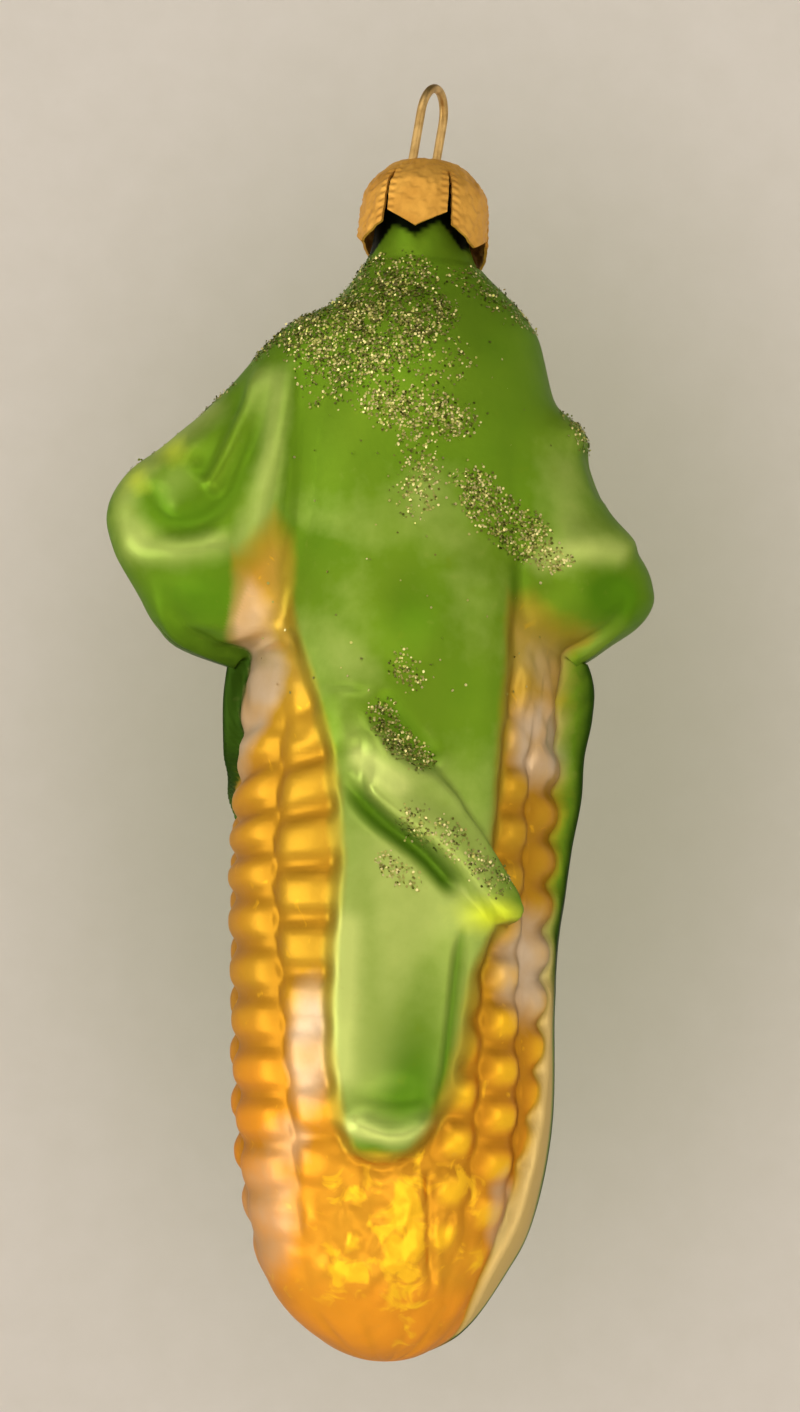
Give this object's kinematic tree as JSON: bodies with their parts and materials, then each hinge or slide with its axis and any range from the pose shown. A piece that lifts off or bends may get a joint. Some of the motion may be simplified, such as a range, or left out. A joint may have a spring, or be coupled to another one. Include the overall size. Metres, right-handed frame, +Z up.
{
  "type": "glass christmas ornament",
  "caption": "Hollow blown glass ornament shaped as a corn cob in curling husk leaves, with a stamped petal cap and a wire hanging loop.",
  "frame": {"origin": "the hang point, at the inner top of the wire loop", "axes": "+Z up along the hanging ornament, -Y out of its front, +X to the right seen from the front"},
  "size_m": [0.0554, 0.0389, 0.1283],
  "materials": {
    "glass_body": "silvered inside, satin green, amber and pearl lacquer outside, with glitter",
    "cap": "gold anodised, satin, embossed",
    "wire_hanger": "pale brass plated, satin"
  },
  "bodies": {
    "root": {"glass_body": "glass_body", "cap": "cap", "wire_hanger": "wire_hanger"}
  },
  "joints": []
}
